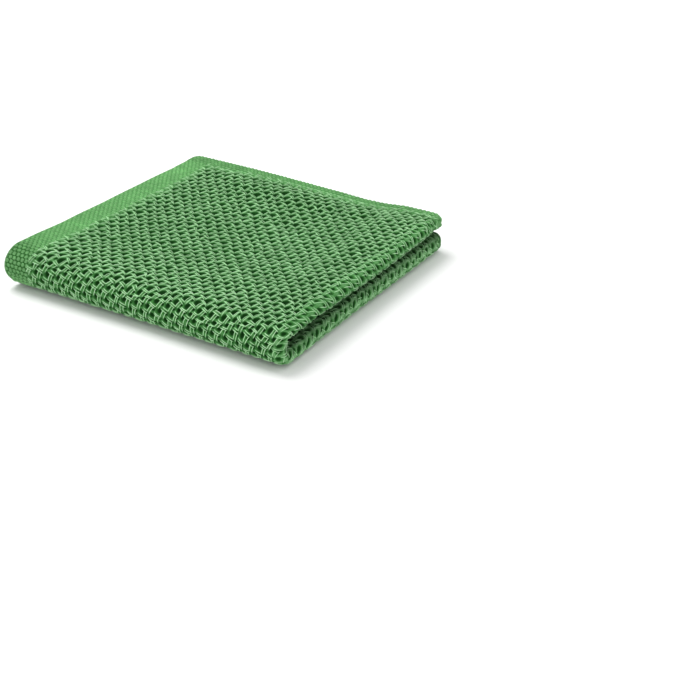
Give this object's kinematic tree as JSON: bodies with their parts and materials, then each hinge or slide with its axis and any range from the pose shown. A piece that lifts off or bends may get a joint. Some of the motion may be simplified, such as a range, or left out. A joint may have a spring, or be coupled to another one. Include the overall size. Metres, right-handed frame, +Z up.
{
  "type": "folded dishcloth",
  "caption": "Square cotton honeycomb-weave dishcloth folded in half twice into a soft flat pad, for wiping and drying dishes.",
  "frame": {"origin": "under the middle of the folded cloth, on the surface it lies on", "axes": "+X towards the side with the first fold's crest, +Y away from the second fold's crest to the open back edge, +Z up"},
  "size_m": [0.1568, 0.1484, 0.0207],
  "materials": {
    "cotton": "matt open honeycomb weave in mid green cotton, with a plain woven band along the edges"
  },
  "bodies": {
    "root": {"cloth": "cotton"}
  },
  "joints": []
}
